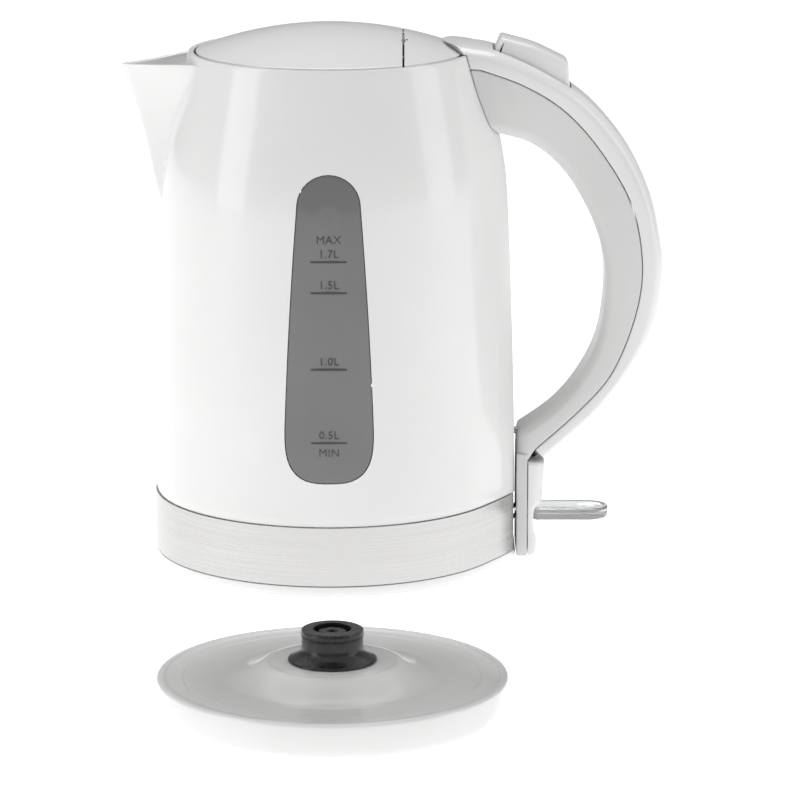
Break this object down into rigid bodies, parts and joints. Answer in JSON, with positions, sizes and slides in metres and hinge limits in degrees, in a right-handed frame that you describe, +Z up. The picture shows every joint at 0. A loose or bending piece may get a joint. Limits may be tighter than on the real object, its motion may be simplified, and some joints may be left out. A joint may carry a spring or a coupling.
{
  "type": "electric kettle",
  "caption": "Cordless electric kettle: white jug with V spout, water window, steel band, hinged lid, D handle with lid button and clear switch lever, above a round swivelling power base.",
  "frame": {"origin": "on the kettle's vertical axis, at the table surface that the base's rubber feet stand on", "axes": "+Z up, -X towards the spout, +X towards the handle, -Y towards the front water window"},
  "size_m": [0.2246, 0.15, 0.295],
  "materials": {
    "gloss_white": "polished injection-moulded white",
    "satin_white": "satin white grip",
    "brushed_steel": "horizontal brushing",
    "aluminium": "plain",
    "smoked_window": "smoked clear plastic with printed scale",
    "black_plastic": "semi-matte black",
    "brass": "plain contact metal",
    "silicone": "translucent silicone",
    "rubber": "matte black",
    "clear_plastic": "clear acrylic",
    "lamp_glass": "amber lamp"
  },
  "bodies": {
    "kettle": {"body_shell": "gloss_white", "water_window_front": "smoked_window", "water_window_rear": "smoked_window", "trim_band": "brushed_steel", "bottom_skirt": "gloss_white", "heater_plate": "brushed_steel", "plate_seal": "silicone", "heat_spreader": "aluminium", "heating_element": "aluminium", "thermostat_controller": "black_plastic", "earth_contact_pin": "brass", "line_contact_ring": "brass", "neutral_contact_ring": "brass", "bottom_cover": "gloss_white", "cover_screw_1": "brushed_steel", "cover_screw_2": "brushed_steel", "cover_screw_3": "brushed_steel", "rear_cap": "gloss_white", "lid_hinge_pin": "brushed_steel", "lid_spring": "brushed_steel", "handle_cover": "gloss_white", "handle_grip": "satin_white", "handle_screw_upper": "brushed_steel", "handle_screw_lower": "brushed_steel", "steam_tube": "rubber", "switch_housing": "gloss_white", "lever_pivot_pin": "brushed_steel", "rocker_pivot_pin": "brushed_steel", "bimetal_disc": "brass", "switch_contact_block": "black_plastic", "indicator_lamp": "lamp_glass", "lead_line": "rubber", "lead_neutral": "rubber"},
    "connector": {"connector_body": "black_plastic", "connector_hub": "black_plastic", "base_line_contact": "brass", "base_neutral_contact": "brass"},
    "power_base": {"base_cover": "gloss_white", "base_underplate": "satin_white", "cord_gland": "rubber", "terminal_block": "black_plastic", "base_lead_line": "rubber", "base_lead_neutral": "rubber", "base_screw_1": "brushed_steel", "base_screw_2": "brushed_steel", "base_screw_3": "brushed_steel", "rubber_foot_1": "rubber", "rubber_foot_2": "rubber", "rubber_foot_3": "rubber", "rubber_foot_4": "rubber"},
    "lid": {"lid_top": "gloss_white", "lid_liner": "gloss_white", "lid_seal": "silicone"},
    "lid_button": {"lid_release_button": "gloss_white", "button_spring": "brushed_steel"},
    "latch": {"lid_latch": "satin_white"},
    "switch_lever": {"switch_lever": "clear_plastic"},
    "trip_rocker": {"trip_rocker": "black_plastic"},
    "spout_filter": {"filter_frame": "gloss_white", "filter_mesh": "brushed_steel"}
  },
  "joints": [
    {"name": "dock", "type": "slide", "parent": "kettle", "child": "connector", "axis": [0, 0, 1], "range_m": [0, 0.053]},
    {"name": "base_swivel", "type": "hinge", "parent": "connector", "child": "power_base", "pos_m": [0, 0, 0.02], "axis": [0, 0, 1], "continuous": true},
    {"name": "lid_hinge", "type": "hinge", "parent": "kettle", "child": "lid", "pos_m": [0.03, 0, 0.2905], "axis": [0, 1, 0], "range_deg": [0, 80]},
    {"name": "lid_button", "type": "slide", "parent": "kettle", "child": "lid_button", "axis": [-0.3322, 0, -0.9432], "range_m": [0, 0.0025], "stiffness_N_per_m": 500, "springref_m": -0.001, "deforming": ["button_spring"]},
    {"name": "lid_latch", "type": "slide", "parent": "kettle", "child": "latch", "axis": [0, 0, -1], "range_m": [0, 0.002]},
    {"name": "switch_lever", "type": "hinge", "parent": "kettle", "child": "switch_lever", "pos_m": [0.0802, 0, 0.0888], "axis": [0, 1, 0], "range_deg": [0, 12]},
    {"name": "trip_rocker", "type": "hinge", "parent": "kettle", "child": "trip_rocker", "pos_m": [0.0802, 0, 0.1055], "axis": [0, 1, 0], "range_deg": [0, 9.6]},
    {"name": "filter_slide", "type": "slide", "parent": "kettle", "child": "spout_filter", "axis": [1, 0, 0], "range_m": [0, 0.008]}
  ],
  "couplings": [
    {"joint": "lid_latch", "follows": "lid_button", "ratio": 0.8},
    {"joint": "trip_rocker", "follows": "switch_lever", "ratio": 0.8}
  ]
}
